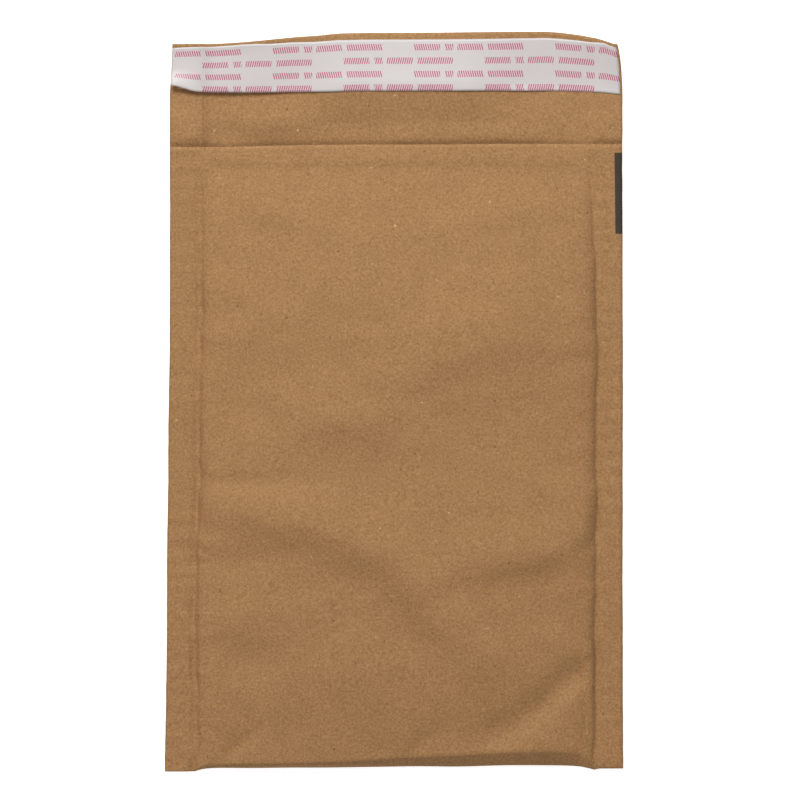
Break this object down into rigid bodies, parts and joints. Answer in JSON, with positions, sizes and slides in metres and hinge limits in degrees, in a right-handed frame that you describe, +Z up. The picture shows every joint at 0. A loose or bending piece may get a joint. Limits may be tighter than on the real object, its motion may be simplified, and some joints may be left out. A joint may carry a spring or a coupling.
{
  "type": "padded envelope",
  "caption": "Padded kraft mailing envelope lying on its back, lined with bubble film, open at the mouth, with a self-seal flap under a peel-off liner.",
  "frame": {"origin": "on the surface that the envelope lies on, under the middle of its outline", "axes": "+X across the width, +Y from the bottom fold towards the flap, +Z up out of the front panel"},
  "size_m": [0.2012, 0.3249, 0.0133],
  "materials": {
    "kraft_paper": "matte",
    "bubble_film": "satin",
    "hot_melt_adhesive": "gloss",
    "release_paper": "satin"
  },
  "bodies": {
    "root": {"kraft_sheet": "kraft_paper", "bubble_lining": "bubble_film", "adhesive_strip": "hot_melt_adhesive", "release_liner": "release_paper"}
  },
  "joints": []
}
